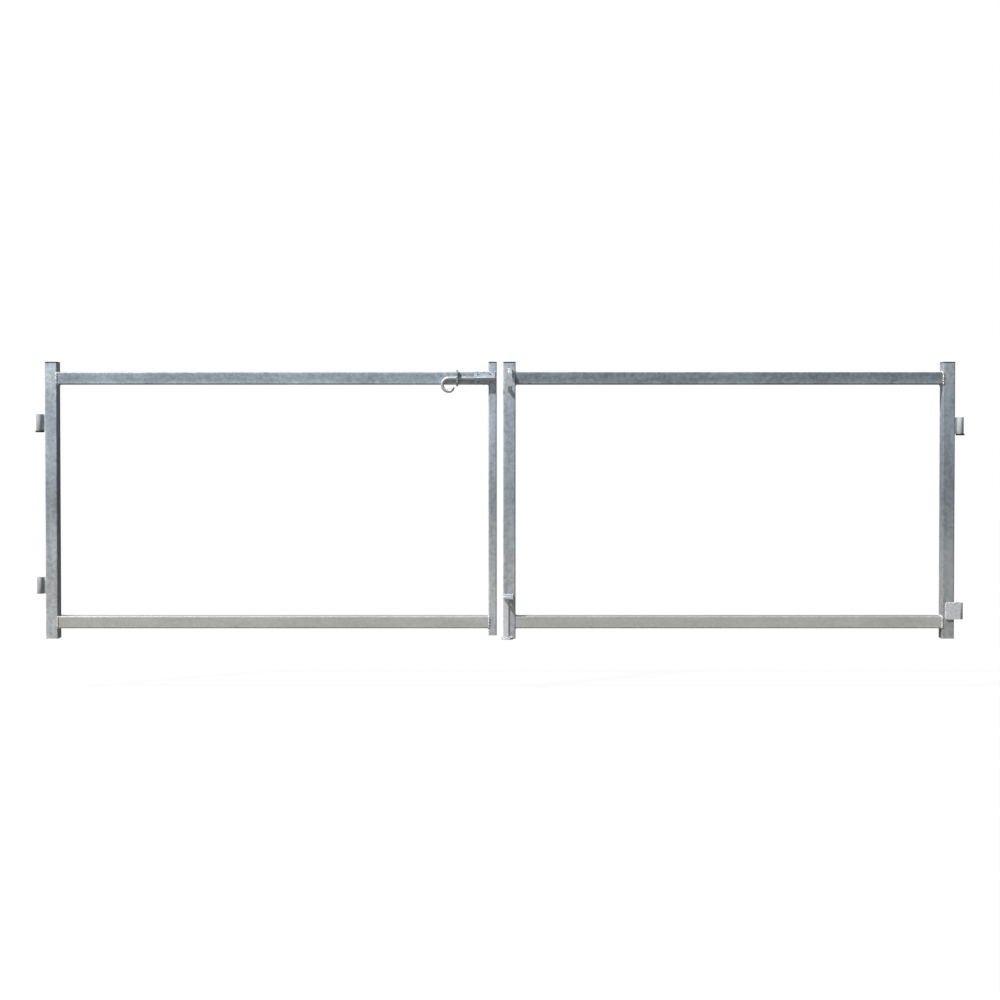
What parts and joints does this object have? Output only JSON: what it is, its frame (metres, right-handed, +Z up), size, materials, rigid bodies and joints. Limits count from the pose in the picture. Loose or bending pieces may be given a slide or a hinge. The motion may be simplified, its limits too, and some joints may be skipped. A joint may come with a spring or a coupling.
{
  "type": "livestock panel gate",
  "caption": "Pair of open rectangular tube gate leaves on hinge eyes, with a sliding bolt, a keeper strap and a drop-pin socket where they meet.",
  "frame": {"origin": "on the left leaf's hinge axis, at mid height of its lower hinge eye", "axes": "+X along the gate from the left leaf's hinge to the right leaf's, +Z up along the hinge axes, -Y to the front, where the bolt is"},
  "size_m": [4.528, 0.104, 1.35],
  "materials": {
    "galvanised_section": "hot-dip galvanised, matt with a faint mottle",
    "galvanised_fitting": "hot-dip galvanised, slightly rough",
    "galvanised_bar": "hot-dip galvanised, rubbed bright by the hand",
    "cap_plastic": "moulded, matt",
    "bush_plastic": "moulded, satin"
  },
  "bodies": {
    "left_leaf": {"left_hinge_stile": "galvanised_section", "left_meeting_stile": "galvanised_section", "left_top_rail": "galvanised_section", "left_bottom_rail": "galvanised_section", "left_hinge_stile_cap": "cap_plastic", "left_meeting_stile_cap": "cap_plastic", "left_upper_hinge_eye": "galvanised_fitting", "left_lower_hinge_eye": "galvanised_fitting", "left_hinge_bush": "bush_plastic", "bolt_housing": "galvanised_fitting"},
    "slide_bolt": {"bolt_bar": "galvanised_bar", "bolt_stop_plate": "galvanised_fitting"},
    "right_leaf": {"right_hinge_stile": "galvanised_section", "right_meeting_stile": "galvanised_section", "right_top_rail": "galvanised_section", "right_bottom_rail": "galvanised_section", "right_hinge_stile_cap": "cap_plastic", "right_meeting_stile_cap": "cap_plastic", "right_upper_hinge_eye": "galvanised_fitting", "right_lower_hinge_eye": "galvanised_fitting", "right_hinge_bush": "bush_plastic", "keeper": "galvanised_fitting", "socket_strip": "galvanised_fitting", "socket_top_plate": "galvanised_fitting", "socket_foot_plate": "galvanised_fitting"}
  },
  "joints": [
    {"name": "bolt_slide", "type": "slide", "parent": "left_leaf", "child": "slide_bolt", "axis": [1, 0, 0], "range_m": [0, 0.076]},
    {"name": "right_leaf_swing", "type": "hinge", "parent": "left_leaf", "child": "right_leaf", "pos_m": [4.486, 0, 0], "axis": [0, 0, 1], "range_deg": [-90, 90]}
  ]
}
